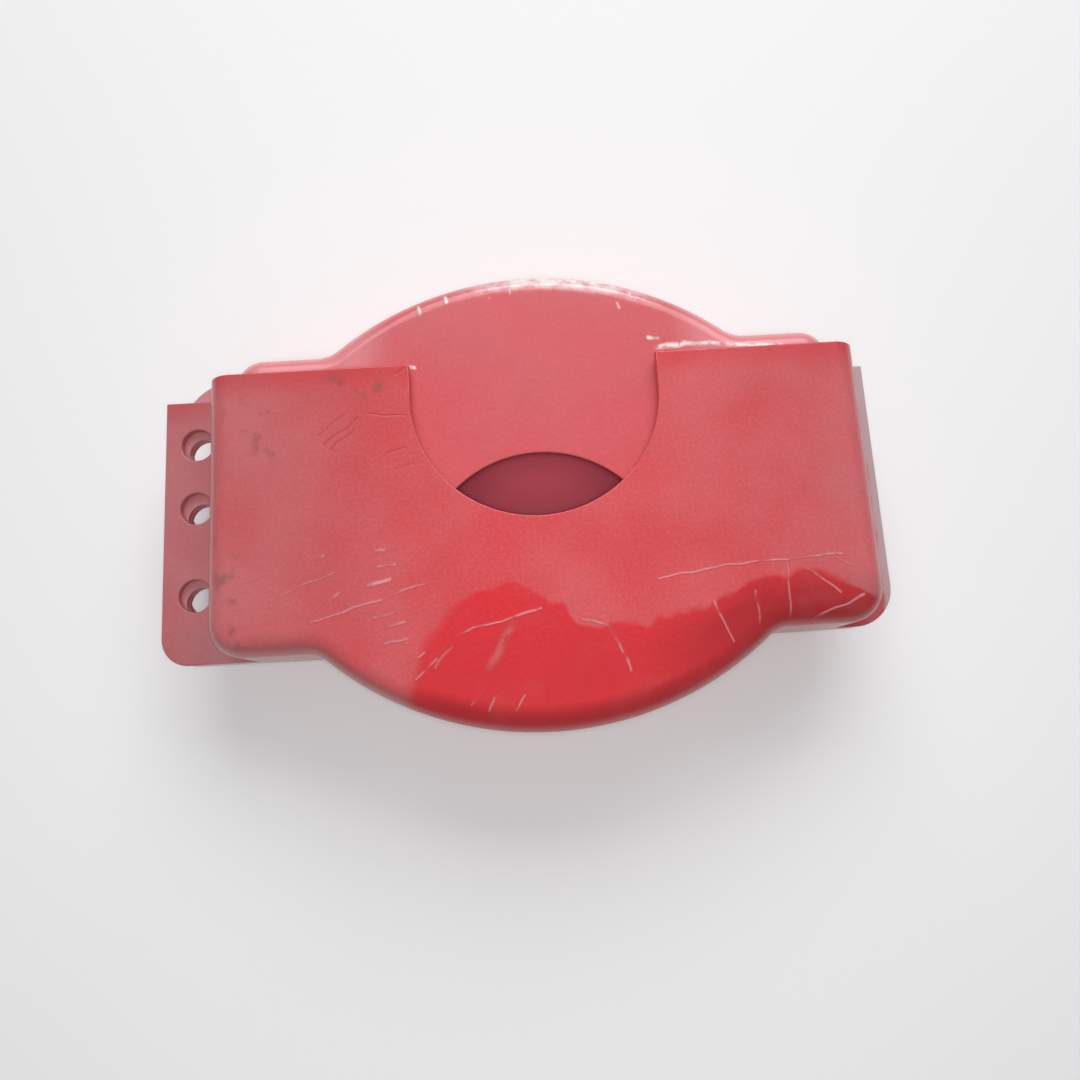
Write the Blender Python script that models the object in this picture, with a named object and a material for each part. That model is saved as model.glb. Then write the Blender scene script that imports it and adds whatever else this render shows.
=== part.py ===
"""Adjustable gate valve lockout, in metres, +Z up, lying on its closed back.

Two pocket-shaped halves slide into each other along Y and close over a valve's handwheel.
The outer half opens towards +Y, and the inner half opens towards -Y and slides inside it.
Each half is a front shell, with a U notch for the valve's stem, and a closed back shell.
Flanges stand out of both sides at mid depth. The inner half's flanges run in the slot
between the outer half's, and the three padlock holes on the left go through all of them.
"""
import math

import bmesh
import bpy

# Outline of one half, measured from its open mouth towards its closed end
OUTER = {
    "half_width": 0.0920,        # body, at the flange
    "wing_end": 0.0790,          # mouth to the closed end, beside the bulge
    "notch_centre": 0.0105,      # mouth to the centre of the stem notch
    "notch_radius": 0.0345,
    "bulge_centre": 0.0105,      # mouth to the centre of the round bulge
    "bulge_radius": 0.0926,
    "corner": 0.0100,            # plan radius of the body's two closed corners
    "blend": 0.0090,             # plan radius where the bulge meets the wings
    "lock_edge": 0.1110,         # outer edge of the flange with the padlock holes (-X)
    "rail_edge": 0.1005,         # outer edge of the plain flange (+X)
    "lock_corner": 0.0080,       # plan radii of the two flanges' closed corners
    "rail_corner": 0.0115,
    "hole_x": -0.1015,
    "hole_y": (0.0135, 0.0330, 0.0590),      # mouth to each padlock hole
    "wall": 0.0024,
    "mouth_y": 0.0,
    "towards_mouth": 1.0,
}
INNER = {
    "half_width": 0.0860,
    "wing_end": 0.0782,
    "notch_centre": 0.0105,
    "notch_radius": 0.0340,
    "bulge_centre": 0.0085,
    "bulge_radius": 0.0912,
    "corner": 0.0085,
    "blend": 0.0090,
    "lock_edge": 0.1074,
    "rail_edge": 0.0965,
    "lock_corner": 0.0160,
    "rail_corner": 0.0070,
    "hole_x": -0.1002,
    "hole_y": (0.0099, 0.0349, 0.0552),
    "wall": 0.0022,
    "mouth_y": -0.0709,          # with the halves nested as at rest
    "towards_mouth": -1.0,
}
HOLE_RADIUS = 0.00475            # takes a padlock shackle of up to 7 mm

# Depth, along Z
PAN_DEPTH = 0.0200               # outer half's face to its flange
OUTER_FLANGE = 0.0022
SLOT = 0.0048                    # between the outer half's two flanges
INNER_FLANGE = 0.0018
SEAM_GAP = 0.0003                # between the shells of one half
FACE_STEP = 0.0038               # outer half's face down to the inner half's face
EDGE_RADIUS = 0.0065             # outside radius of the outer half's face edges
INNER_EDGE_RADIUS = 0.0060
DRAFT = 0.0005                   # how far each wall leans in between flange and face
DEPTH = 2.0 * (PAN_DEPTH + OUTER_FLANGE) + SLOT
SEAM = 0.5 * DEPTH

# The frame's origin is under the middle of the closed lockout
X_MID = 0.5 * (OUTER["rail_edge"] - OUTER["lock_edge"])
OUTER_TIP = -(OUTER["bulge_centre"] + OUTER["bulge_radius"])
INNER_TIP = INNER["mouth_y"] + INNER["bulge_centre"] + INNER["bulge_radius"]
Y_MID = 0.5 * (OUTER_TIP + INNER_TIP)

CORNER_STEPS = 5
BLEND_STEPS = 4
BULGE_STEPS = 26
NOTCH_STEPS = 20
EDGE_STEPS = 4
HOLE_STEPS = 24
CUT = 0.004                      # how far a cutter runs past what it cuts
MERGE = 1e-6                     # points closer than this are one
FLAT = math.radians(0.2)         # faces that turn less than this are one flat face
SHARP = math.radians(35.0)       # edges sharper than this stay sharp in the shading

RED = (0.62, 0.035, 0.045, 1.0)
DEEP_RED = (0.50, 0.022, 0.032, 1.0)
ROUGHNESS = 0.38


def clear_scene():
    for obj in list(bpy.data.objects):
        bpy.data.objects.remove(obj, do_unlink=True)


def plastic(name, colour):
    material = bpy.data.materials.new(name)
    material.use_nodes = True
    shader = material.node_tree.nodes["Principled BSDF"]
    shader.inputs["Base Color"].default_value = colour
    shader.inputs["Roughness"].default_value = ROUGHNESS
    shader.inputs["Metallic"].default_value = 0.0
    return material


def arc(centre, radius, start, end, steps):
    """Points of an arc in plan, with the angles in degrees."""
    points = []
    for step in range(steps + 1):
        angle = math.radians(start + (end - start) * step / steps)
        points.append((centre[0] + radius * math.cos(angle), centre[1] + radius * math.sin(angle)))
    return points


def bulge_run(half, inset):
    """The closed end from the right wing to the left: blend, bulge, blend."""
    blend = half["blend"] + inset
    radius = half["bulge_radius"] - inset
    centre_y = -half["bulge_centre"]
    blend_y = -half["wing_end"] - half["blend"]
    reach = half["bulge_radius"] + half["blend"]
    blend_x = math.sqrt(reach ** 2 - (centre_y - blend_y) ** 2)
    lean = math.degrees(math.atan2(centre_y - blend_y, blend_x))
    run = arc((blend_x, blend_y), blend, 90.0, 180.0 - lean, BLEND_STEPS)
    run += arc((0.0, centre_y), radius, -lean, lean - 180.0, BULGE_STEPS)[1:-1]
    run += arc((-blend_x, blend_y), blend, lean, 90.0, BLEND_STEPS)
    return run


def body_outline(half, inset=0.0, beyond_mouth=0.0):
    """The body in plan, drawn in by inset everywhere but at the mouth."""
    side = half["half_width"] - inset
    corner = half["corner"] - inset
    corner_y = -half["wing_end"] + half["corner"]
    corner_x = half["half_width"] - half["corner"]
    outline = [(side, beyond_mouth)]
    outline += arc((corner_x, corner_y), corner, 0.0, -90.0, CORNER_STEPS)
    outline += bulge_run(half, inset)
    outline += arc((-corner_x, corner_y), corner, -90.0, -180.0, CORNER_STEPS)
    outline.append((-side, beyond_mouth))
    return outline


def flange_corners(half):
    """The rounded closed corners of the right and left flanges."""
    rail = half["rail_corner"]
    lock = half["lock_corner"]
    rail_centre = (half["rail_edge"] - rail, -half["wing_end"] + rail)
    lock_centre = (lock - half["lock_edge"], -half["wing_end"] + lock)
    right = arc(rail_centre, rail, 0.0, -90.0, CORNER_STEPS)
    left = arc(lock_centre, lock, -90.0, -180.0, CORNER_STEPS)
    return right, left


def flange_outline(half):
    """One plate as wide as both flanges, which the body's hollow is cut out of later."""
    right, left = flange_corners(half)
    return [(half["rail_edge"], 0.0)] + right + left + [(-half["lock_edge"], 0.0)]


def end_outline(half):
    """The closed end's wall in plan, across both flanges, up to the inside of the wings.

    It is flush with the flange's edge and leaves its rounded corners open.
    """
    inside = -(half["wing_end"] - half["wall"])
    right = half["rail_edge"] - half["rail_corner"]
    left = half["lock_corner"] - half["lock_edge"]
    outline = [(right, inside), (right, -half["wing_end"])]
    outline += bulge_run(half, 0.0)
    outline += [(left, -half["wing_end"]), (left, inside)]
    return outline


def place(half, point):
    """From a half's own plan, with its mouth at 0, to the frame."""
    x, y = point
    return (x - X_MID, half["mouth_y"] + half["towards_mouth"] * y - Y_MID)


def stack(name, half, rings):
    """A closed solid through plan outlines of equal length, each at its own height."""
    mesh = bmesh.new()
    loops = []
    for outline, z in rings:
        loops.append([mesh.verts.new((*place(half, point), z)) for point in outline])
    for low, high in zip(loops, loops[1:]):
        for i in range(len(low)):
            j = (i + 1) % len(low)
            mesh.faces.new((low[i], low[j], high[j], high[i]))
    mesh.faces.new(loops[0])
    mesh.faces.new(loops[-1])
    bmesh.ops.recalc_face_normals(mesh, faces=mesh.faces)
    data = bpy.data.meshes.new(name)
    mesh.to_mesh(data)
    mesh.free()
    solid = bpy.data.objects.new(name, data)
    bpy.context.scene.collection.objects.link(solid)
    return solid


def prism(name, half, outline, low, high):
    return stack(name, half, [(outline, low), (outline, high)])


def pan(name, half, heights, edge_radius, inset, beyond_mouth=0.0):
    """A body-shaped block: upright from base to flange, then leaning in to its rounded face."""
    base, flange, face = heights
    up = 1.0 if face > base else -1.0
    foot = body_outline(half, inset, beyond_mouth)
    rings = [(foot, base), (foot, flange)]
    for step in range(EDGE_STEPS + 1):
        angle = math.radians(90.0 * step / EDGE_STEPS)
        drawn_in = inset + DRAFT + edge_radius * (1.0 - math.cos(angle))
        height = face - up * edge_radius * (1.0 - math.sin(angle))
        rings.append((body_outline(half, drawn_in, beyond_mouth), height))
    return stack(name, half, rings)


def combine(solid, other, operation):
    """Apply a Boolean to solid and remove the other object."""
    boolean = solid.modifiers.new(operation.lower(), "BOOLEAN")
    boolean.operation = operation
    boolean.object = other
    graph = bpy.context.evaluated_depsgraph_get()
    result = bpy.data.meshes.new_from_object(solid.evaluated_get(graph))
    solid.modifiers.clear()
    solid.data = result
    bpy.data.objects.remove(other, do_unlink=True)


def cut_holes(shell, half, low, high):
    for distance in half["hole_y"]:
        circle = arc((half["hole_x"], -distance), HOLE_RADIUS, 0.0, 360.0, HOLE_STEPS)[:-1]
        combine(shell, prism("hole_cutter", half, circle, low, high), "DIFFERENCE")


def cut_notch(shell, half, low, high):
    radius = half["notch_radius"]
    centre = (0.0, -half["notch_centre"])
    outline = [(radius, CUT)]
    outline += arc(centre, radius, 0.0, -180.0, NOTCH_STEPS)
    outline.append((-radius, CUT))
    combine(shell, prism("notch_cutter", half, outline, low, high), "DIFFERENCE")


def hollow(shell, half, heights, edge_radius):
    """Take out the inside, through the mouth and through the open base."""
    base, flange, face = heights
    wall = half["wall"]
    up = 1.0 if face > base else -1.0
    inside = (base - up * CUT, flange, face - up * wall)
    combine(shell, pan("hollow_cutter", half, inside, edge_radius - wall, wall, CUT), "DIFFERENCE")


def outer_shell(name, face, flange, end):
    """A shell of the outer half: face, walls, flanges, and the wall across its closed end.

    flange is the height of the flange's side that looks to the face, and end is the seam.
    """
    up = 1.0 if face > flange else -1.0
    under = flange - up * OUTER_FLANGE
    shell = pan(name, OUTER, (under, flange, face), EDGE_RADIUS, 0.0)
    plate = prism("flange_plate", OUTER, flange_outline(OUTER), *sorted((under, flange)))
    combine(shell, plate, "UNION")
    inside_flange = under + up * 0.5 * OUTER_FLANGE
    wall = prism("end_wall", OUTER, end_outline(OUTER), *sorted((end, inside_flange)))
    combine(shell, wall, "UNION")
    hollow(shell, OUTER, (end, flange, face), EDGE_RADIUS)
    cut_holes(shell, OUTER, *sorted((end - up * CUT, flange + up * CUT)))
    return shell


def inner_shell(name, face, seam):
    """A shell of the inner half, whose flanges lie against the seam."""
    up = 1.0 if face > seam else -1.0
    flange = seam + up * INNER_FLANGE
    shell = pan(name, INNER, (seam, flange, face), INNER_EDGE_RADIUS, 0.0)
    plate = prism("flange_plate", INNER, flange_outline(INNER), *sorted((seam, flange)))
    combine(shell, plate, "UNION")
    hollow(shell, INNER, (seam, flange, face), INNER_EDGE_RADIUS)
    cut_holes(shell, INNER, *sorted((seam - up * CUT, flange + up * CUT)))
    return shell


def finish(shell, material, parent=None):
    """Tidy the mesh, shade it and give it its material, with its origin on its parent."""
    mesh = bmesh.new()
    mesh.from_mesh(shell.data)
    bmesh.ops.remove_doubles(mesh, verts=mesh.verts, dist=MERGE)
    bmesh.ops.dissolve_limit(mesh, angle_limit=FLAT, verts=mesh.verts, edges=mesh.edges)
    if parent is not None:
        bmesh.ops.translate(mesh, vec=-parent.location, verts=mesh.verts)
    mesh.to_mesh(shell.data)
    mesh.free()
    shell.data.shade_smooth()
    shell.data.set_sharp_from_angle(angle=SHARP)
    shell.data.materials.clear()
    shell.data.materials.append(material)
    shell.parent = parent


def slide_axis():
    """The empty on the axis that the inner half slides along, at its mouth."""
    axis = bpy.data.objects.new("inner_half_slide", None)
    axis.location = (-X_MID, INNER["mouth_y"] - Y_MID, SEAM)
    bpy.context.scene.collection.objects.link(axis)
    return axis


def build():
    clear_scene()
    red = plastic("red_plastic", RED)
    deep_red = plastic("deep_red_plastic", DEEP_RED)
    axis = slide_axis()
    half_gap = 0.5 * SEAM_GAP

    front = outer_shell("outer_front_shell", DEPTH, DEPTH - PAN_DEPTH, SEAM + half_gap)
    cut_notch(front, OUTER, DEPTH - OUTER["wall"] - CUT, DEPTH + CUT)
    finish(front, red)
    finish(outer_shell("outer_back_shell", 0.0, PAN_DEPTH, SEAM - half_gap), deep_red)

    front = inner_shell("inner_front_shell", DEPTH - FACE_STEP, SEAM + half_gap)
    cut_notch(front, INNER, DEPTH - FACE_STEP - INNER["wall"] - CUT, DEPTH - FACE_STEP + CUT)
    finish(front, red, axis)
    finish(inner_shell("inner_back_shell", FACE_STEP, SEAM - half_gap), deep_red, axis)


build()
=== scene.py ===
"""Looks of the adjustable gate valve lockout.

Finely moulded shells in place of the CAD ones, red plastic as it looks under clinging shrink
film, a pale floor, soft light and the camera.
"""
import math

import bmesh
import bpy
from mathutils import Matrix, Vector


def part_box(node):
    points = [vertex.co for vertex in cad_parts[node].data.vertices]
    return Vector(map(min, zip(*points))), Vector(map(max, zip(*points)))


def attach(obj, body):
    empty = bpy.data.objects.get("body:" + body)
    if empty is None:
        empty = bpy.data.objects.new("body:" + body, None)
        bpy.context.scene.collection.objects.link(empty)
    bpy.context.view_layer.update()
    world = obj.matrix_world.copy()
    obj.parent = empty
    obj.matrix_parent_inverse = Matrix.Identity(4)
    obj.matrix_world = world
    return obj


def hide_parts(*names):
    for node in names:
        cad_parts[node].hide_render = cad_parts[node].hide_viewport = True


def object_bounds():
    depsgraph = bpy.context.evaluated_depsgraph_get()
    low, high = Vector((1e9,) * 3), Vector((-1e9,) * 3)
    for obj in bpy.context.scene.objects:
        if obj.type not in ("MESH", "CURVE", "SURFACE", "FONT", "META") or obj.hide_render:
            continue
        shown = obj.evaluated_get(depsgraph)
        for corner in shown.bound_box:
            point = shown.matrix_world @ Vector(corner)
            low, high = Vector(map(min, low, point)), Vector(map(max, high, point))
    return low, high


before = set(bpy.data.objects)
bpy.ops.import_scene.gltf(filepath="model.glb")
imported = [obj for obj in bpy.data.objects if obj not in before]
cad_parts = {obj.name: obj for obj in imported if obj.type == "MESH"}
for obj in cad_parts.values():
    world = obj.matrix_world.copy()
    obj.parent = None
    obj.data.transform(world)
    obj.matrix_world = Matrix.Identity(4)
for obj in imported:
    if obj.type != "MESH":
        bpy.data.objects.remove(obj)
CAD_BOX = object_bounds()

MM = 0.001

# Plan of one half in its own coordinates: mouth at 0, closed end towards -Y (metres)
OUTER = {
    "half_width": 92.0 * MM,
    "wing_end": 79.0 * MM,
    "notch_centre": 10.5 * MM,
    "notch_radius": 34.5 * MM,
    "bulge_centre": 10.5 * MM,
    "bulge_radius": 92.6 * MM,
    "corner": 10.0 * MM,
    "blend": 9.0 * MM,
    "lock_edge": 111.0 * MM,
    "rail_edge": 100.5 * MM,
    "lock_corner": 8.0 * MM,
    "rail_corner": 11.5 * MM,
    "hole_x": -101.5 * MM,
    "hole_y": (13.5 * MM, 33.0 * MM, 59.0 * MM),
    "wall": 2.4 * MM,
    "edge_radius": 6.5 * MM,
    "towards_mouth": 1.0,
}
INNER = {
    "half_width": 86.0 * MM,
    "wing_end": 78.2 * MM,
    "notch_centre": 10.5 * MM,
    "notch_radius": 34.0 * MM,
    "bulge_centre": 8.5 * MM,
    "bulge_radius": 91.2 * MM,
    "corner": 8.5 * MM,
    "blend": 9.0 * MM,
    "lock_edge": 107.4 * MM,
    "rail_edge": 96.5 * MM,
    "lock_corner": 16.0 * MM,
    "rail_corner": 7.0 * MM,
    "hole_x": -100.2 * MM,
    "hole_y": (9.9 * MM, 34.9 * MM, 55.2 * MM),
    "wall": 2.2 * MM,
    "edge_radius": 6.0 * MM,
    "towards_mouth": -1.0,
}
HOLE_RADIUS = 4.75 * MM
PAN_DEPTH = 20.0 * MM
OUTER_FLANGE = 2.2 * MM
INNER_FLANGE = 1.8 * MM
DRAFT = 0.5 * MM
RIM = 0.4 * MM                   # rounding of every moulded rim
CUT = 4.0 * MM                   # how far a cutter runs past what it cuts
MERGE = 0.02 * MM                # points closer than this are one
FLAT = math.radians(0.15)        # faces that turn less than this are one flat face
SHARP = math.radians(40.0)       # edges sharper than this are rims or inside corners

CORNER_STEPS = 14
BLEND_STEPS = 12
BULGE_STEPS = 110
NOTCH_STEPS = 96
EDGE_STEPS = 12
HOLE_STEPS = 56
RIM_STEPS = 3

# Where the halves lie, read from the frame
OUTER_LOW, OUTER_HIGH = (Vector(corner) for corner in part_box("outer_front_shell"))
INNER_LOW, INNER_HIGH = (Vector(corner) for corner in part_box("inner_front_shell"))
BACK_LOW, BACK_HIGH = (Vector(corner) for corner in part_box("outer_back_shell"))
INNER_BACK_LOW, INNER_BACK_HIGH = (Vector(corner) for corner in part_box("inner_back_shell"))
CENTRE_X = OUTER_LOW.x + OUTER["lock_edge"]
OUTER["mouth_y"] = OUTER_HIGH.y
INNER["mouth_y"] = INNER_LOW.y
FACE_Z = OUTER_HIGH.z
INNER_FACE_Z = INNER_HIGH.z


# --- Materials ---

class Weave:
    """Builds a material's nodes: every call adds nodes and gives back the last one's output.

    Inside a material, place and its parts x, y and z are millimetres from the middle of the
    outer half's mouth, at its face.
    """

    def __init__(self, name):
        self.material = bpy.data.materials.new(name)
        self.material.use_nodes = True
        self.tree = self.material.node_tree
        self.shader = self.tree.nodes["Principled BSDF"]
        coordinates = self.tree.nodes.new("ShaderNodeTexCoord").outputs["Object"]
        offset = self.vector("SUBTRACT", coordinates, (CENTRE_X, OUTER["mouth_y"], FACE_Z))
        self.place = self.vector("SCALE", offset, scale=1.0 / MM)
        parts = self.tree.nodes.new("ShaderNodeSeparateXYZ")
        self.put(parts.inputs[0], self.place)
        self.x, self.y, self.z = parts.outputs

    def put(self, socket, value):
        if isinstance(value, bpy.types.NodeSocket):
            self.tree.links.new(value, socket)
        else:
            socket.default_value = value

    def math(self, operation, *values):
        node = self.tree.nodes.new("ShaderNodeMath")
        node.operation = operation
        for socket, value in zip(node.inputs, values):
            self.put(socket, value)
        return node.outputs["Value"]

    def chain(self, operation, values):
        result = values[0]
        for value in values[1:]:
            result = self.math(operation, result, value)
        return result

    def total(self, *values):
        return self.chain("ADD", values)

    def product(self, *values):
        return self.chain("MULTIPLY", values)

    def most(self, *values):
        return self.chain("MAXIMUM", values)

    def rest(self, value):
        """What value leaves of 1."""
        return self.math("SUBTRACT", 1.0, value)

    def vector(self, operation, *values, scale=None):
        node = self.tree.nodes.new("ShaderNodeVectorMath")
        node.operation = operation
        for socket, value in zip(node.inputs, values):
            self.put(socket, value)
        if scale is not None:
            self.put(node.inputs["Scale"], scale)
        return node.outputs["Value" if operation in ("DOT_PRODUCT", "LENGTH") else "Vector"]

    def noise(self, size, detail=2.0, stretch=(1.0, 1.0, 1.0), turn=0.0, output="Fac"):
        """Noise from 0 to 1, with features about size millimetres across."""
        mapping = self.tree.nodes.new("ShaderNodeMapping")
        mapping.inputs["Rotation"].default_value = (0.0, 0.0, math.radians(turn))
        mapping.inputs["Scale"].default_value = [1.0 / (size * along) for along in stretch]
        self.put(mapping.inputs["Vector"], self.place)
        node = self.tree.nodes.new("ShaderNodeTexNoise")
        node.inputs["Scale"].default_value = 1.0
        node.inputs["Detail"].default_value = detail
        self.put(node.inputs["Vector"], mapping.outputs["Vector"])
        return node.outputs[output]

    def ramp(self, value, start, end, low=0.0, high=1.0):
        """low where value is at start and high where it is at end, smoothly between."""
        node = self.tree.nodes.new("ShaderNodeMapRange")
        node.interpolation_type = "SMOOTHSTEP"
        node.clamp = False
        names = ("Value", "From Min", "From Max", "To Min", "To Max")
        for name, setting in zip(names, (value, start, end, low, high)):
            self.put(node.inputs[name], setting)
        return node.outputs["Result"]

    def curve(self, value, points):
        """A smooth curve through points, whose first and last set the range of value."""
        first = points[0][0]
        span = points[-1][0] - first
        lowest = min(point[1] for point in points)
        rise = max(point[1] for point in points) - lowest
        node = self.tree.nodes.new("ShaderNodeFloatCurve")
        line = node.mapping.curves[0]
        while len(line.points) < len(points):
            line.points.new(0.5, 0.5)
        for knot, (x, y) in zip(line.points, points):
            knot.location = ((x - first) / span, (y - lowest) / rise)
        node.mapping.update()
        self.put(node.inputs["Value"], self.math("DIVIDE", self.math("SUBTRACT", value, first), span))
        return self.math("MULTIPLY_ADD", node.outputs["Value"], rise, lowest)

    def wander(self, value, noise, width):
        """value, moved by the noise to either side by up to half of width."""
        return self.math("MULTIPLY_ADD", self.math("SUBTRACT", noise, 0.5), width, value)

    def mix(self, amount, colour, other):
        node = self.tree.nodes.new("ShaderNodeMix")
        node.data_type = "RGBA"
        self.put(node.inputs[0], amount)
        self.put(node.inputs[6], colour)
        self.put(node.inputs[7], other)
        return node.outputs[2]

    def plan(self, place):
        """place without its height."""
        return self.vector("MULTIPLY", place, (1.0, 1.0, 0.0))

    def reach(self, centre_y):
        """Distance in plan from the point on the middle line at centre_y."""
        offset = self.vector("SUBTRACT", self.plan(self.place), (0.0, centre_y, 0.0))
        return self.vector("LENGTH", offset)

    def crooked_plan(self, size, width):
        """The plan for hand-drawn lines, which makes them wander by up to half of width."""
        wobble = self.vector("SCALE", self.noise(size, 1.0, output="Color"), scale=width)
        shift = self.vector("SUBTRACT", wobble, 3 * (0.5 * width,))
        return self.plan(self.vector("ADD", self.place, shift))

    def line(self, place, start, end, width):
        """1 on the segment from start to end in plan, falling to 0 at half of width from it."""
        run = Vector((end[0] - start[0], end[1] - start[1], 0.0))
        offset = self.vector("SUBTRACT", place, (start[0], start[1], 0.0))
        along = self.math("DIVIDE", self.vector("DOT_PRODUCT", offset, run), run.length_squared)
        along = self.math("MAXIMUM", self.math("MINIMUM", along, 1.0), 0.0)
        foot = self.vector("SUBTRACT", offset, self.vector("SCALE", tuple(run), scale=along))
        return self.ramp(self.vector("LENGTH", foot), 0.5 * width, 0.0)

    def lines(self, place, segments):
        """The strongest of many segments, each (x, y, x, y, width, strength)."""
        strongest = None
        for segment in segments:
            line = self.line(place, segment[0:2], segment[2:4], segment[4])
            line = self.product(line, segment[5])
            strongest = line if strongest is None else self.most(strongest, line)
        return strongest

    def bump(self, height, distance, strength, normal=None):
        """height is 0 to 1, and distance is its whole depth in metres."""
        node = self.tree.nodes.new("ShaderNodeBump")
        node.inputs["Strength"].default_value = strength
        node.inputs["Distance"].default_value = distance
        self.put(node.inputs["Height"], height)
        if normal is not None:
            self.put(node.inputs["Normal"], normal)
        return node.outputs["Normal"]


# Marks in plan: x, y, x, y, width, strength, in millimetres like Weave's place
# Creases that clinging film leaves on the outer face
CREASES = (
    (-61.0, -53.4, -57.2, -51.5, 1.8, 0.9),
    (-45.1, -52.7, -39.5, -52.1, 1.6, 0.9),
    (-44.3, -57.0, -39.6, -56.6, 1.6, 0.7),
    (-47.2, -61.8, -40.6, -60.4, 2.0, 1.0),
    (-57.9, -64.9, -55.1, -63.2, 1.6, 0.7),
    (-73.0, -63.8, -55.9, -57.6, 1.0, 0.7),
    (-62.6, -70.5, -51.9, -67.5, 1.2, 0.8),
    (-51.9, -67.5, -31.4, -62.0, 1.1, 0.8),
    (-80.6, -59.4, -73.1, -57.2, 0.9, 0.5),
    (-46.0, -70.0, -40.0, -68.8, 1.3, 0.7),
    (-45.0, -73.5, -38.0, -72.0, 1.5, 0.8),
    (-43.0, -77.5, -37.0, -76.5, 1.3, 0.7),
    (-39.0, -83.5, -33.0, -80.5, 1.4, 0.8),
    (-35.0, -87.0, -29.5, -82.5, 1.3, 0.7),
    (-30.0, -84.5, -26.0, -79.0, 1.3, 0.6),
    (-21.0, -94.0, -18.0, -91.0, 1.2, 0.7),
    (-16.0, -95.5, -14.5, -92.5, 1.2, 0.8),
    (-9.5, -96.5, -7.0, -93.0, 1.3, 0.8),
    (-24.5, -76.1, -1.6, -69.9, 1.1, 0.9),
    (-8.7, -74.2, -15.8, -84.8, 4.5, 0.5),
    (8.9, -73.9, 16.1, -75.7, 1.3, 0.8),
    (16.1, -75.7, 21.1, -87.7, 1.5, 0.8),
    (30.0, -64.4, 48.1, -61.7, 1.0, 0.8),
    (48.1, -61.7, 80.2, -60.2, 0.9, 0.9),
    (44.4, -70.8, 48.8, -82.2, 1.2, 0.8),
    (55.8, -68.7, 55.8, -76.9, 1.2, 0.7),
    (65.0, -61.7, 64.3, -75.7, 1.1, 0.8),
    (70.4, -63.9, 78.0, -70.0, 1.2, 0.8),
    (69.7, -77.5, 83.8, -71.7, 1.3, 0.9),
    (75.6, -59.5, 82.2, -63.2, 1.0, 0.6),
)
SCUFFS = (
    (-58.4, -22.3, -49.5, -14.8, 1.3, 0.7),
    (-56.4, -23.8, -50.5, -18.0, 1.2, 0.6),
    (-60.0, -19.5, -53.5, -13.8, 1.1, 0.5),
    (-46.2, -13.8, -36.2, -14.4, 1.0, 0.6),
    (-41.0, -25.5, -36.0, -24.0, 1.4, 0.5),
    (-39.0, -30.0, -34.5, -29.0, 1.3, 0.4),
    (-35.0, 0.0, -38.0, -2.2, 1.8, 0.6),
)
# Corners and a stretch of the mouth where dirt has gathered under the film
GRIMY = (
    (-87.0, -49.0, -82.0, -74.0, 15.0, 1.0),
    (-79.0, -11.0, -74.0, -20.0, 20.0, 1.0),
    (-54.0, -3.5, -43.0, -7.0, 12.0, 1.0),
)
# Glints of gathered film along the inner half's rim
GLINTS = (
    (-31.9, 19.5, -31.2, 16.4, 1.5, 0.9),
    (-24.0, 21.4, -23.8, 19.6, 1.7, 1.0),
    (-11.5, 23.2, -11.2, 20.2, 1.2, 0.7),
    (-5.6, 24.4, -5.4, 21.6, 1.0, 0.6),
    (25.4, 16.6, 25.9, 15.2, 1.4, 0.8),
    (29.2, 20.6, 29.8, 18.9, 1.5, 0.9),
    (33.5, 5.8, 36.5, 5.2, 1.6, 0.9),
    (36.0, 2.4, 44.0, 3.4, 2.6, 1.0),
    (44.0, 3.4, 72.0, 0.9, 2.2, 0.9),
    (-35.2, 1.0, -33.6, 0.6, 1.8, 0.9),
)
# Film clings to the outer face on this line's closed side: x, y
CLING_LINE = (
    (-60.0, -96.0),
    (-40.0, -90.0),
    (-32.0, -72.0),
    (-24.0, -66.5),
    (-12.0, -62.5),
    (-4.0, -66.0),
    (4.0, -68.5),
    (10.0, -74.5),
    (30.0, -74.5),
    (42.0, -72.0),
    (52.0, -66.0),
    (70.0, -64.5),
    (86.0, -70.0),
    (94.0, -80.0),
)
RED = (0.72, 0.028, 0.037, 1.0)
DARKER_RED = tuple(0.84 * channel for channel in RED[:3]) + (1.0,)
DEEP_RED_AND_SHADE = (0.36, 0.012, 0.016, 1.0)
GREY_FILM = (0.50, 0.43, 0.445, 1.0)
LILAC_FILM = (0.50, 0.43, 0.47, 1.0)
PINK_FILM_AND_HIGHLIGHT = (0.80, 0.42, 0.45, 1.0)
PAINTED_LIGHT_INSIDE = (0.98, 0.16, 0.22, 1.0)
GRIME = (0.16, 0.07, 0.05, 1.0)
GLINT = (0.95, 0.88, 0.88, 1.0)


def moulded_red(name, roughness, mottle):
    """The plastic under every film: slightly mottled red with a fine moulded grain."""
    weave = Weave(name)
    weave.shader.inputs["Specular IOR Level"].default_value = 0.35
    weave.shader.inputs["Coat Weight"].default_value = 0.55
    weave.shader.inputs["Coat Roughness"].default_value = 0.12
    cloud = weave.noise(22.0, 3.0)
    speck = weave.noise(0.9, 3.0)
    tone = weave.mix(weave.ramp(speck, 0.35, 0.68, 1.0 - mottle, 1.0), DARKER_RED, RED)
    tone = weave.mix(weave.ramp(cloud, 0.40, 0.75, 0.0, 0.4), tone, DARKER_RED)
    rough = weave.ramp(speck, 0.3, 0.7, roughness - 0.05, roughness + 0.07)
    weave.put(weave.shader.inputs["Roughness"], rough)
    return weave, tone, speck


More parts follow.
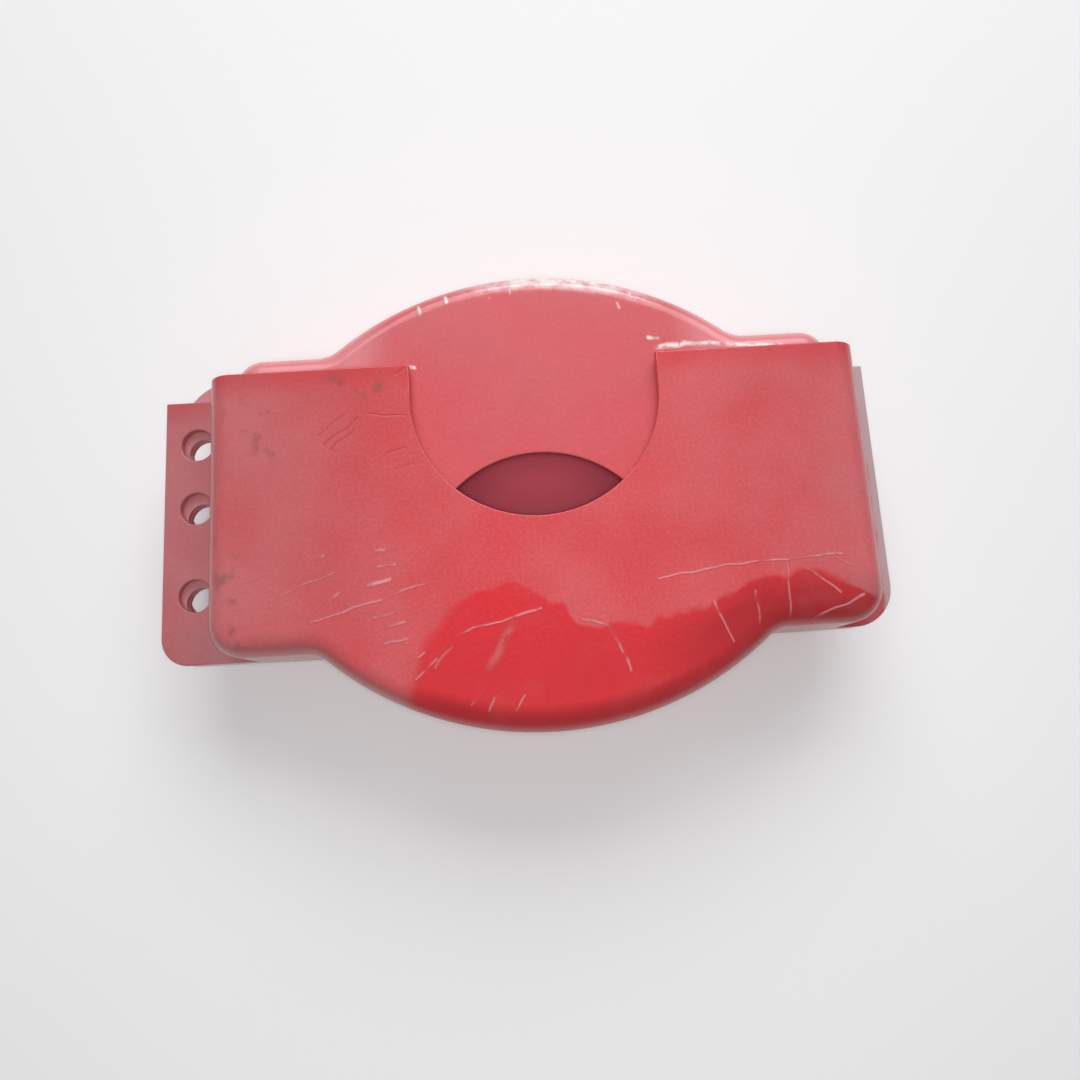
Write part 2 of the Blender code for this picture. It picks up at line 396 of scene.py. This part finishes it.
def outer_haze(weave, speck, torn, broad, cling, wall):
    """Grey where film stands off the outer half, or bridges to its flanges and hollows, and a painted
    highlight where it folds round the right flange's edge.
    """
    x, y, z = weave.x, weave.y, weave.z
    streak = weave.noise(3.0, 3.0, (0.07, 2.3, 1.0), -24.0)
    haze = weave.total(
        weave.ramp(broad, 0.3, 0.7, 0.10, 0.19),
        weave.ramp(speck, 0.4, 0.75, -0.015, 0.02),
        weave.ramp(streak, 0.60, 0.76, 0.0, 0.09),
        weave.ramp(x, -30.0, -86.0, 0.0, 0.10),
        weave.ramp(x, 50.0, 88.0, 0.0, 0.07),
    )
    clear = weave.product(cling, weave.ramp(torn, 0.50, 0.72, 0.97, 0.80))
    at_mouth = weave.ramp(y, -9.0, -0.5, 1.0, 0.45)
    # Less haze on the right wall, to keep its painted shade dark
    at_right = weave.ramp(x, 88.8, 91.2, 1.0, 0.25)
    haze = weave.product(haze, weave.rest(clear), at_mouth, at_right)

    low_wall = weave.rest(weave.ramp(z, -14.0, -5.0))
    side = weave.ramp(weave.math("ABSOLUTE", x), 84.0, 89.5)
    flange = weave.math("LESS_THAN", z, -19.0)
    beside_holes = weave.ramp(x, -99.5, -93.0, 0.05, 0.22)
    below_holes = weave.ramp(y, -79.0, -50.0, 0.35, 1.0)
    # Along the right flange's edge: the film's grey where it wraps round, with a painted highlight on
    # the fold
    rail_edge = weave.ramp(weave.wander(x, torn, 4.0), 97.2, 98.6, 0.0, 0.52)
    hollow = weave.product(weave.ramp(x, -68.0, -58.0), weave.ramp(x, -30.0, -42.0), wall)
    return weave.total(
        haze,
        weave.product(low_wall, side, 0.03),
        weave.product(flange, rail_edge),
        weave.product(flange, beside_holes, below_holes),
        weave.product(hollow, 0.14),
    )


def outer_wet_red_and_painted_shade(weave, cling, below_line):
    """Deeper red where the film is wet on the right; painted shade on the bulge's rounding and down
    the walls; darker towards the left, the right and the closed end.
    """
    x, y, z = weave.x, weave.y, weave.z
    wet = weave.ramp(below_line, 1.0, 7.0, 0.45, 0.9)
    from_centre = weave.reach(-OUTER["bulge_centre"] / MM)
    shoulder = weave.product(weave.ramp(from_centre, 83.0, 87.5), weave.ramp(x, -46.0, -26.0))
    rounding = weave.most(weave.ramp(z, 0.0, -1.6), shoulder)
    return weave.most(
        weave.product(cling, weave.ramp(x, 4.0, 62.0), wet),
        # Painted shade on the rounding of the bulge and of the face's edge at the closed end
        weave.product(rounding, weave.ramp(y, -60.0, -72.0), 0.74),
        # Darker towards the closed end, the left and the right
        weave.ramp(y, -66.0, -90.0, 0.0, 0.20),
        weave.ramp(x, -8.0, -76.0, 0.0, 0.36),
        weave.ramp(x, 30.0, 86.0, 0.0, 0.20),
        # Painted shade down the walls, deeper on the right wall
        weave.ramp(z, -1.0, -4.0, 0.0, 0.55),
        weave.ramp(x, 88.8, 91.2, 0.0, 0.5),
    )


def outer_marks(weave, colour, on_face):
    """Adds grime, creases drawn as a painted highlight with a hem of painted shade, and scuffs, and
    gives back the colour and the folds' height.
    """
    spot = weave.noise(5.0, 5.0)
    grimy = weave.product(weave.lines(weave.place, GRIMY), weave.ramp(spot, 0.52, 0.68, 0.0, 0.45))
    colour = weave.mix(weave.product(grimy, on_face), colour, GRIME)
    crooked = weave.crooked_plan(9.0, 2.6)
    broken = weave.ramp(spot, 0.34, 0.56, 0.25, 1.0)
    crease = weave.product(weave.lines(crooked, CREASES), on_face, broken)
    scuff = weave.product(weave.lines(crooked, SCUFFS), on_face)
    # Painted shade in a hem beside each crease, and a painted highlight down its middle
    crease_shade = weave.product(crease, weave.rest(crease), 1.3)
    crease_highlight = weave.product(weave.math("POWER", crease, 1.6), 0.6)
    colour = weave.mix(crease_shade, colour, DEEP_RED_AND_SHADE)
    colour = weave.mix(crease_highlight, colour, PINK_FILM_AND_HIGHLIGHT)
    colour = weave.mix(weave.product(scuff, 0.40), colour, DEEP_RED_AND_SHADE)
    return colour, weave.math("SUBTRACT", crease, scuff)


def outer_red():
    """Film stands off the face in a grey haze, and clings clear and glossy around the bulge."""
    weave, tone, speck = moulded_red("outer_red_under_film", 0.42, 0.65)
    torn = weave.noise(11.0, 2.5)
    broad = weave.noise(34.0, 2.0)
    line = weave.wander(weave.curve(weave.x, CLING_LINE), torn, 9.0)
    below_line = weave.math("SUBTRACT", line, weave.y)
    cling = weave.ramp(below_line, -0.4, weave.ramp(weave.x, -17.0, -34.0, 1.6, 11.0))
    on_face = weave.ramp(weave.z, -5.0, -0.8)
    haze = outer_haze(weave, speck, torn, broad, cling, weave.rest(on_face))
    # Deeper red of the wet film, with painted shade on the roundings and walls
    tone = weave.mix(outer_wet_red_and_painted_shade(weave, cling, below_line), tone, DEEP_RED_AND_SHADE)
    colour, folds = outer_marks(weave, weave.mix(haze, tone, GREY_FILM), on_face)
    weave.put(weave.shader.inputs["Base Color"], colour)
    grain = weave.bump(speck, 0.04 * MM, 0.6)
    folded = weave.bump(folds, 0.25 * MM, 0.8, grain)
    weave.put(weave.shader.inputs["Normal"], weave.bump(broad, 1.6 * MM, 0.6, folded))
    return weave.material


def inner_red():
    """Smoother and pinker: the film stands further off the recessed face."""
    weave, tone, speck = moulded_red("inner_red_under_film", 0.34, 0.25)
    x, y, z = weave.x, weave.y, weave.z
    from_middle = weave.math("ABSOLUTE", x)
    broad = weave.noise(40.0, 2.0)
    torn = weave.noise(3.0, 4.0)
    upper = weave.ramp(z, -10.5, -6.5)
    wing = weave.product(weave.ramp(from_middle, 38.0, 52.0), weave.ramp(y, -1.0, 3.0), upper)
    flange = weave.product(weave.ramp(z, -20.5, -22.0), weave.ramp(z, -26.0, -25.0))
    haze = weave.total(
        weave.ramp(broad, 0.3, 0.7, 0.15, 0.20),
        # Paler towards the top: a painted sheen
        weave.ramp(y, -25.0, 26.0, 0.0, 0.04),
        weave.ramp(speck, 0.4, 0.75, -0.01, 0.02),
        weave.product(wing, 0.30),
        weave.product(flange, weave.ramp(x, -84.0, -88.0), 0.30),
    )
    colour = weave.mix(haze, tone, weave.mix(wing, LILAC_FILM, PINK_FILM_AND_HIGHLIGHT))

    # The floor of the inside, under the stem opening, painted paler: painted light for what the film
    # and the thin red walls let through
    radius = INNER["bulge_radius"] / MM
    from_centre = weave.reach((INNER["mouth_y"] - OUTER["mouth_y"] + INNER["bulge_centre"]) / MM)
    inside_floor = weave.product(weave.ramp(z, -45.0, -43.6), weave.ramp(z, -30.0, -40.0))
    within = weave.product(weave.ramp(from_middle, 62.0, 44.0), weave.ramp(from_centre, 86.0, 78.0))
    colour = weave.mix(weave.product(inside_floor, within), colour, PAINTED_LIGHT_INSIDE)

    # Glints, and a torn band of them around the top of the bulge
    glint = weave.lines(weave.crooked_plan(5.0, 1.6), GLINTS)
    glint = weave.product(glint, weave.ramp(torn, 0.35, 0.60), upper)
    from_glare = weave.math("ABSOLUTE", weave.math("SUBTRACT", x, 9.0))
    rim = weave.product(
        weave.ramp(from_centre, radius - 7.5, radius - 3.5),
        weave.ramp(y, 6.0, 20.0),
        weave.ramp(from_glare, 34.0, 8.0),
        weave.ramp(torn, 0.30, 0.62, 0.25, 0.85),
        upper,
    )
    weave.put(weave.shader.inputs["Base Color"], weave.mix(weave.most(rim, glint), colour, GLINT))
    grain = weave.bump(speck, 0.03 * MM, 0.5)
    folded = weave.bump(glint, 0.3 * MM, 0.8, grain)
    weave.put(weave.shader.inputs["Normal"], weave.bump(broad, 1.2 * MM, 0.6, folded))
    return weave.material


# --- Shells ---

def arc(centre, radius, start, end, steps):
    """Points of an arc in plan, with the angles in degrees."""
    points = []
    for step in range(steps + 1):
        angle = math.radians(start + (end - start) * step / steps)
        points.append((centre[0] + radius * math.cos(angle), centre[1] + radius * math.sin(angle)))
    return points


def bulge_run(half, inset):
    """The closed end from the right wing to the left: blend, bulge, blend."""
    blend = half["blend"] + inset
    radius = half["bulge_radius"] - inset
    centre_y = -half["bulge_centre"]
    blend_y = -half["wing_end"] - half["blend"]
    reach = half["bulge_radius"] + half["blend"]
    blend_x = math.sqrt(reach ** 2 - (centre_y - blend_y) ** 2)
    lean = math.degrees(math.atan2(centre_y - blend_y, blend_x))
    run = arc((blend_x, blend_y), blend, 90.0, 180.0 - lean, BLEND_STEPS)
    run += arc((0.0, centre_y), radius, -lean, lean - 180.0, BULGE_STEPS)[1:-1]
    run += arc((-blend_x, blend_y), blend, lean, 90.0, BLEND_STEPS)
    return run


def body_outline(half, inset=0.0, beyond_mouth=0.0):
    """The body in plan, drawn in by inset everywhere but at the mouth."""
    side = half["half_width"] - inset
    corner = half["corner"] - inset
    corner_x = half["half_width"] - half["corner"]
    corner_y = -half["wing_end"] + half["corner"]
    outline = [(side, beyond_mouth)]
    outline += arc((corner_x, corner_y), corner, 0.0, -90.0, CORNER_STEPS)
    outline += bulge_run(half, inset)
    outline += arc((-corner_x, corner_y), corner, -90.0, -180.0, CORNER_STEPS)
    outline.append((-side, beyond_mouth))
    return outline


def flange_corners(half):
    """The rounded closed corners of the right and left flanges."""
    rail = half["rail_corner"]
    lock = half["lock_corner"]
    rail_centre = (half["rail_edge"] - rail, -half["wing_end"] + rail)
    lock_centre = (lock - half["lock_edge"], -half["wing_end"] + lock)
    right = arc(rail_centre, rail, 0.0, -90.0, CORNER_STEPS)
    left = arc(lock_centre, lock, -90.0, -180.0, CORNER_STEPS)
    return right, left


def flange_outline(half):
    """One plate as wide as both flanges, which the body's hollow is cut out of later."""
    right, left = flange_corners(half)
    return [(half["rail_edge"], 0.0)] + right + left + [(-half["lock_edge"], 0.0)]


def end_outline(half):
    """The closed end's wall in plan, across both flanges, up to the inside of the wings.

    It is flush with the flange's edge and leaves its rounded corners open.
    """
    inside = -(half["wing_end"] - half["wall"])
    right = half["rail_edge"] - half["rail_corner"]
    left = half["lock_corner"] - half["lock_edge"]
    outline = [(right, inside), (right, -half["wing_end"])]
    outline += bulge_run(half, 0.0)
    outline += [(left, -half["wing_end"]), (left, inside)]
    return outline


def in_frame(half, point):
    """From a half's own plan, with its mouth at 0, to the frame."""
    x, y = point
    return (CENTRE_X + x, half["mouth_y"] + half["towards_mouth"] * y)


def stack(name, half, rings):
    """A closed solid through plan outlines of equal length, each at its own height."""
    mesh = bmesh.new()
    loops = []
    for outline, z in rings:
        loops.append([mesh.verts.new((*in_frame(half, point), z)) for point in outline])
    for low, high in zip(loops, loops[1:]):
        for i in range(len(low)):
            j = (i + 1) % len(low)
            mesh.faces.new((low[i], low[j], high[j], high[i]))
    mesh.faces.new(loops[0])
    mesh.faces.new(loops[-1])
    bmesh.ops.recalc_face_normals(mesh, faces=mesh.faces)
    data = bpy.data.meshes.new(name)
    mesh.to_mesh(data)
    mesh.free()
    solid = bpy.data.objects.new(name, data)
    bpy.context.scene.collection.objects.link(solid)
    return solid


def prism(name, half, outline, low, high):
    return stack(name, half, [(outline, low), (outline, high)])


def pan(name, half, heights, edge_radius, inset, beyond_mouth=0.0):
    """A body-shaped block: upright from base to flange, then leaning in to its rounded face."""
    base, flange, face = heights
    up = 1.0 if face > base else -1.0
    foot = body_outline(half, inset, beyond_mouth)
    rings = [(foot, base), (foot, flange)]
    for step in range(EDGE_STEPS + 1):
        angle = math.radians(90.0 * step / EDGE_STEPS)
        drawn_in = inset + DRAFT + edge_radius * (1.0 - math.cos(angle))
        height = face - up * edge_radius * (1.0 - math.sin(angle))
        rings.append((body_outline(half, drawn_in, beyond_mouth), height))
    return stack(name, half, rings)


def combine(solid, other, operation):
    """Apply a Boolean to solid and remove the other object."""
    boolean = solid.modifiers.new(operation.lower(), "BOOLEAN")
    boolean.operation = operation
    boolean.object = other
    graph = bpy.context.evaluated_depsgraph_get()
    result = bpy.data.meshes.new_from_object(solid.evaluated_get(graph))
    solid.modifiers.clear()
    solid.data = result
    bpy.data.objects.remove(other, do_unlink=True)


def cut_holes(shell, half, low, high):
    for distance in half["hole_y"]:
        circle = arc((half["hole_x"], -distance), HOLE_RADIUS, 0.0, 360.0, HOLE_STEPS)[:-1]
        combine(shell, prism("hole_cutter", half, circle, low, high), "DIFFERENCE")


def cut_notch(shell, half, low, high):
    radius = half["notch_radius"]
    outline = [(radius, CUT)]
    outline += arc((0.0, -half["notch_centre"]), radius, 0.0, -180.0, NOTCH_STEPS)
    outline.append((-radius, CUT))
    combine(shell, prism("notch_cutter", half, outline, low, high), "DIFFERENCE")


def hollow(shell, half, heights):
    """Take out the inside, through the mouth and through the open base."""
    base, flange, face = heights
    wall = half["wall"]
    up = 1.0 if face > base else -1.0
    inside = (base - up * CUT, flange, face - up * wall)
    cutter = pan("hollow_cutter", half, inside, half["edge_radius"] - wall, wall, CUT)
    combine(shell, cutter, "DIFFERENCE")


def outer_shell(name, face, flange, end):
    """A shell of the outer half: face, walls, flanges, and the wall across its closed end."""
    up = 1.0 if face > flange else -1.0
    under = flange - up * OUTER_FLANGE
    shell = pan(name, OUTER, (under, flange, face), OUTER["edge_radius"], 0.0)
    plate = prism("flange_plate", OUTER, flange_outline(OUTER), *sorted((under, flange)))
    combine(shell, plate, "UNION")
    inside_flange = under + up * 0.5 * OUTER_FLANGE
    wall = prism("end_wall", OUTER, end_outline(OUTER), *sorted((end, inside_flange)))
    combine(shell, wall, "UNION")
    hollow(shell, OUTER, (end, flange, face))
    cut_holes(shell, OUTER, *sorted((end - up * CUT, flange + up * CUT)))
    return shell


def inner_shell(name, face, seam):
    """A shell of the inner half, whose flanges lie against the seam."""
    up = 1.0 if face > seam else -1.0
    flange = seam + up * INNER_FLANGE
    shell = pan(name, INNER, (seam, flange, face), INNER["edge_radius"], 0.0)
    plate = prism("flange_plate", INNER, flange_outline(INNER), *sorted((seam, flange)))
    combine(shell, plate, "UNION")
    hollow(shell, INNER, (seam, flange, face))
    cut_holes(shell, INNER, *sorted((seam - up * CUT, flange + up * CUT)))
    return shell


def round_rims(shell):
    """Merge flat faces, then round every moulded rim and keep the flats flat."""
    mesh = bmesh.new()
    mesh.from_mesh(shell.data)
    bmesh.ops.remove_doubles(mesh, verts=mesh.verts, dist=MERGE)
    bmesh.ops.dissolve_limit(mesh, angle_limit=FLAT, verts=mesh.verts, edges=mesh.edges)
    rims = mesh.edges.layers.float.new("bevel_weight_edge")
    for edge in mesh.edges:
        angle = edge.calc_face_angle_signed()
        if angle > SHARP:
            edge[rims] = 1.0
        elif angle < -SHARP:
            edge.smooth = False
    mesh.to_mesh(shell.data)
    mesh.free()
    shell.data.shade_smooth()
    bevel = shell.modifiers.new("rims", "BEVEL")
    bevel.width = RIM
    bevel.segments = RIM_STEPS
    bevel.limit_method = "WEIGHT"
    bevel.use_clamp_overlap = False
    bevel.harden_normals = True
    weights = shell.modifiers.new("flats", "WEIGHTED_NORMAL")
    weights.weight = 80
    weights.keep_sharp = True


def finish_shell(shell, node, body, material):
    round_rims(shell)
    shell.data.materials.clear()
    shell.data.materials.append(material)
    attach(shell, body)
    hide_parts(node)


def build_shells():
    outer = outer_red()
    inner = inner_red()
    front = outer_shell("outer_front", FACE_Z, FACE_Z - PAN_DEPTH, OUTER_LOW.z)
    cut_notch(front, OUTER, FACE_Z - OUTER["wall"] - CUT, FACE_Z + CUT)
    finish_shell(front, "outer_front_shell", "outer_half", outer)
    back = outer_shell("outer_back", BACK_LOW.z, BACK_LOW.z + PAN_DEPTH, BACK_HIGH.z)
    finish_shell(back, "outer_back_shell", "outer_half", outer)
    front = inner_shell("inner_front", INNER_FACE_Z, INNER_LOW.z)
    cut_notch(front, INNER, INNER_FACE_Z - INNER["wall"] - CUT, INNER_FACE_Z + CUT)
    finish_shell(front, "inner_front_shell", "inner_half", inner)
    back = inner_shell("inner_back", INNER_BACK_LOW.z, INNER_BACK_HIGH.z)
    finish_shell(back, "inner_back_shell", "inner_half", inner)


# --- Stage ---

FLOOR_SIZE = 3.0
FLOOR_GAP = 0.2 * MM             # between the floor and the closed back
EYE = (CENTRE_X - 3.1 * MM, OUTER["mouth_y"] - 89.6 * MM, FACE_Z + 211.4 * MM)
EYE_TURN = (10.11, -0.62, -3.40)           # degrees: tilt towards +Y, lean and roll


def floor():
    mesh = bmesh.new()
    bmesh.ops.create_grid(mesh, x_segments=1, y_segments=1, size=FLOOR_SIZE)
    data = bpy.data.meshes.new("floor")
    mesh.to_mesh(data)
    mesh.free()
    plane = bpy.data.objects.new("floor", data)
    plane.location.z = CAD_BOX[0][2] - FLOOR_GAP
    bpy.context.scene.collection.objects.link(plane)
    material = bpy.data.materials.new("pale_floor")
    material.use_nodes = True
    shader = material.node_tree.nodes["Principled BSDF"]
    shader.inputs["Base Color"].default_value = (0.96, 0.96, 0.96, 1.0)
    shader.inputs["Roughness"].default_value = 0.9
    plane.data.materials.append(material)


def area_light(name, location, target, size, power, glossy=True, diffuse=True):
    light = bpy.data.lights.new(name, "AREA")
    light.shape = "RECTANGLE"
    light.size, light.size_y = size
    light.energy = power
    lamp = bpy.data.objects.new(name, light)
    lamp.location = location
    lamp.rotation_euler = (Vector(target) - Vector(location)).to_track_quat("-Z", "Y").to_euler()
    lamp.visible_glossy = glossy
    lamp.visible_diffuse = diffuse
    lamp.visible_camera = False
    bpy.context.scene.collection.objects.link(lamp)


def lights():
    """A soft room, a window beyond the inner half, and lamps that fill in without glare.

    The near lamp is at the eye, to light the inside through the stem opening. The rim lamp adds
    only a gloss along the top of the inner half's bulge.
    """
    world = bpy.data.worlds.new("soft_room")
    world.use_nodes = True
    background = world.node_tree.nodes["Background"]
    background.inputs["Color"].default_value = (0.97, 0.98, 1.0, 1.0)
    background.inputs["Strength"].default_value = 0.26
    bpy.context.scene.world = world
    opening = (CENTRE_X, OUTER["mouth_y"] - 40.0 * MM, 0.0)
    area_light("window", (0.10, 0.82, 0.72), (0.0, 0.0, 0.03), (1.1, 0.7), 8.0)
    area_light("overhead", (-0.02, -0.27, 1.05), (0.0, 0.0, 0.0), (0.46, 0.46), 2.3, glossy=False)
    area_light("near", EYE, opening, (0.015, 0.015), 0.13, glossy=False)
    area_light("rim", (0.12, 0.95, 0.50), (0.0, 0.03, 0.04), (0.5, 0.07), 1.6, diffuse=False)


def camera():
    """Close above the notched face, a little below its middle, and slightly rolled."""
    data = bpy.data.cameras.new("camera")
    data.sensor_width = 36.0
    data.lens = 26.67
    data.clip_start = 0.01
    eye = bpy.data.objects.new("camera", data)
    eye.location = EYE
    eye.rotation_mode = "ZXY"
    eye.rotation_euler = [math.radians(turn) for turn in EYE_TURN]
    bpy.context.scene.collection.objects.link(eye)
    bpy.context.scene.camera = eye


camera()
lights()
floor()
build_shells()
bpy.context.scene.view_settings.view_transform = "Standard"
